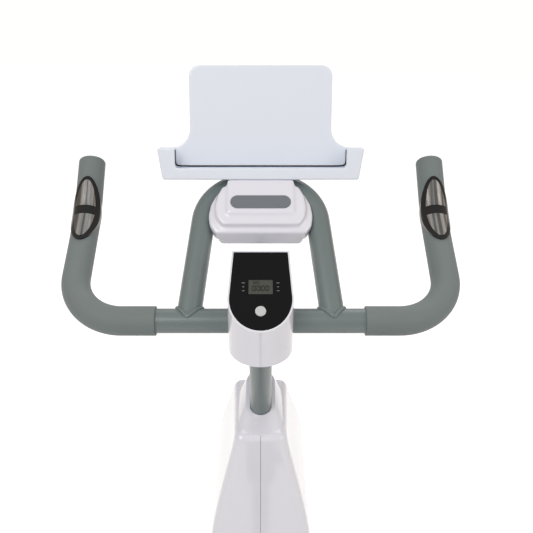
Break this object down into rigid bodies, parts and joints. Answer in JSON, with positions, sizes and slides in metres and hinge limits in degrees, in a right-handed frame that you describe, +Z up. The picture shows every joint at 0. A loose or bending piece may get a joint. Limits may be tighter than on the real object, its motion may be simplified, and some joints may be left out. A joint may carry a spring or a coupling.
{
  "type": "indoor spin bike",
  "caption": "Upright indoor spin bike with an enclosed belt-driven flywheel, sliding saddle and handlebar posts, pulse grips, small console and a tablet tray.",
  "frame": {"origin": "on the floor under the middle of the bike's length and width", "axes": "+X to the rider's right, +Y forwards from the saddle to the handlebar, +Z up"},
  "size_m": [0.532, 1.0599, 1.3448],
  "materials": {
    "frame_paint": "satin powder coat",
    "foam_grip": "matt foam",
    "white_shell": "gloss",
    "tray_plastic": "satin gloss",
    "grey_inlay": "matt",
    "face_black": "gloss",
    "lcd_glass": "satin",
    "button_grey": "satin",
    "sensor_black": "gloss",
    "sensor_steel": "brushed",
    "bright_steel": "turned",
    "cast_flywheel": "painted casting",
    "pulley_alloy": "turned",
    "crank_black": "satin",
    "black_plastic": "fine texture",
    "black_rubber": "matt",
    "vinyl_black": "grained vinyl",
    "felt_pad": "felt"
  },
  "bodies": {
    "frame": {"stabilizers": "frame_paint", "base_beam": "frame_paint", "stabilizer_end_caps": "black_plastic", "flywheel_fork": "frame_paint", "head_tube": "frame_paint", "seat_tube": "frame_paint", "bottom_bracket": "frame_paint", "frame_stays": "frame_paint", "top_beam": "frame_paint", "post_bushes": "black_plastic", "bearings": "bright_steel", "drive_belt": "black_rubber", "shell_left": "white_shell", "shell_right": "white_shell", "shell_screws": "bright_steel", "mouth_bezel": "white_shell"},
    "flywheel": {"flywheel": "cast_flywheel", "flywheel_axle": "bright_steel", "driven_pulley": "pulley_alloy"},
    "cranks": {"crank_axle": "bright_steel", "drive_pulley": "pulley_alloy", "crank_arm_left": "crank_black", "crank_arm_right": "crank_black", "crank_caps": "black_plastic", "pedal_spindles": "bright_steel"},
    "pedal_left": {"pedal_left": "black_plastic", "toe_strap_left": "black_rubber"},
    "pedal_right": {"pedal_right": "black_plastic", "toe_strap_right": "black_rubber"},
    "brake": {"brake_carrier": "bright_steel", "brake_pad": "felt_pad"},
    "resistance": {"resistance_knob": "black_plastic", "resistance_screw": "bright_steel"},
    "handlebar": {"handlebar": "frame_paint", "handlebar_post": "frame_paint", "grip_left": "foam_grip", "grip_right": "foam_grip", "pulse_sensor_housings": "sensor_black", "pulse_sensor_plates": "sensor_steel", "tablet_frame": "frame_paint", "holder_bracket": "white_shell", "bracket_inlay": "grey_inlay", "tablet_tray": "tray_plastic", "console_housing": "white_shell", "console_face": "face_black", "console_display": "lcd_glass"},
    "console_button": {"console_button": "button_grey"},
    "seat_post": {"seat_post": "frame_paint"},
    "saddle": {"saddle_slide": "frame_paint", "saddle_clamp": "crank_black", "saddle_rails": "bright_steel", "saddle_base": "black_plastic", "saddle_cushion": "vinyl_black"},
    "handlebar_knob": {"handlebar_knob": "black_plastic"},
    "seat_knob": {"seat_knob": "black_plastic"},
    "slide_knob": {"slide_knob": "black_plastic"},
    "wheel_left": {"transport_wheel_left": "black_rubber"},
    "wheel_right": {"transport_wheel_right": "black_rubber"},
    "foot_left": {"levelling_foot_left": "black_rubber"},
    "foot_right": {"levelling_foot_right": "black_rubber"}
  },
  "joints": [
    {"name": "flywheel_spin", "type": "hinge", "parent": "frame", "child": "flywheel", "pos_m": [0, 0.29, 0.32], "axis": [1, 0, 0], "continuous": true},
    {"name": "crank_spin", "type": "hinge", "parent": "frame", "child": "cranks", "pos_m": [0, -0.06, 0.335], "axis": [1, 0, 0], "continuous": true},
    {"name": "pedal_left_spin", "type": "hinge", "parent": "cranks", "child": "pedal_left", "pos_m": [0, -0.23, 0.335], "axis": [1, 0, 0], "continuous": true},
    {"name": "pedal_right_spin", "type": "hinge", "parent": "cranks", "child": "pedal_right", "pos_m": [0, 0.11, 0.335], "axis": [1, 0, 0], "continuous": true},
    {"name": "brake_slide", "type": "slide", "parent": "frame", "child": "brake", "axis": [0, 0.7431, -0.6691], "range_m": [0, 0.0025]},
    {"name": "resistance_turn", "type": "hinge", "parent": "brake", "child": "resistance", "pos_m": [0, -0.02807, 0.60639], "axis": [0, 0.7431, -0.6691], "range_deg": [0, 720]},
    {"name": "handlebar_height", "type": "slide", "parent": "frame", "child": "handlebar", "axis": [0, -0.2588, 0.9659], "range_m": [-0.05, 0.09]},
    {"name": "console_button_press", "type": "slide", "parent": "handlebar", "child": "console_button", "axis": [0, 0.454, -0.891], "range_m": [0, 0.0012], "stiffness_N_per_m": 400, "springref_m": -0.002},
    {"name": "seat_height", "type": "slide", "parent": "frame", "child": "seat_post", "axis": [0, -0.2924, 0.9563], "range_m": [-0.06, 0.09]},
    {"name": "saddle_fore_aft", "type": "slide", "parent": "seat_post", "child": "saddle", "axis": [0, 1, 0], "range_m": [-0.04, 0.04]},
    {"name": "handlebar_knob_turn", "type": "hinge", "parent": "frame", "child": "handlebar_knob", "pos_m": [0, 0.27151, 0.77038], "axis": [0, -0.9659, -0.2588], "range_deg": [0, 360]},
    {"name": "seat_knob_turn", "type": "hinge", "parent": "frame", "child": "seat_knob", "pos_m": [0, -0.17036, 0.57523], "axis": [0, 0.9563, 0.2924], "range_deg": [0, 360]},
    {"name": "slide_knob_turn", "type": "hinge", "parent": "seat_post", "child": "slide_knob", "pos_m": [0.021, -0.18572, 0.76621], "axis": [-1, 0, 0], "range_deg": [0, 360]},
    {"name": "wheel_left_spin", "type": "hinge", "parent": "frame", "child": "wheel_left", "pos_m": [-0.17, 0.502, 0.034], "axis": [1, 0, 0], "continuous": true},
    {"name": "wheel_right_spin", "type": "hinge", "parent": "frame", "child": "wheel_right", "pos_m": [0.17, 0.502, 0.034], "axis": [1, 0, 0], "continuous": true},
    {"name": "foot_left_turn", "type": "hinge", "parent": "frame", "child": "foot_left", "pos_m": [-0.19, -0.503, 0.01], "axis": [0, 0, 1], "range_deg": [-180, 180]},
    {"name": "foot_right_turn", "type": "hinge", "parent": "frame", "child": "foot_right", "pos_m": [0.19, -0.503, 0.01], "axis": [0, 0, 1], "range_deg": [-180, 180]}
  ],
  "couplings": [
    {"joint": "crank_spin", "follows": "flywheel_spin", "ratio": 0.25},
    {"joint": "resistance_turn", "follows": "brake_slide", "rad_per_m": 5026.5}
  ]
}
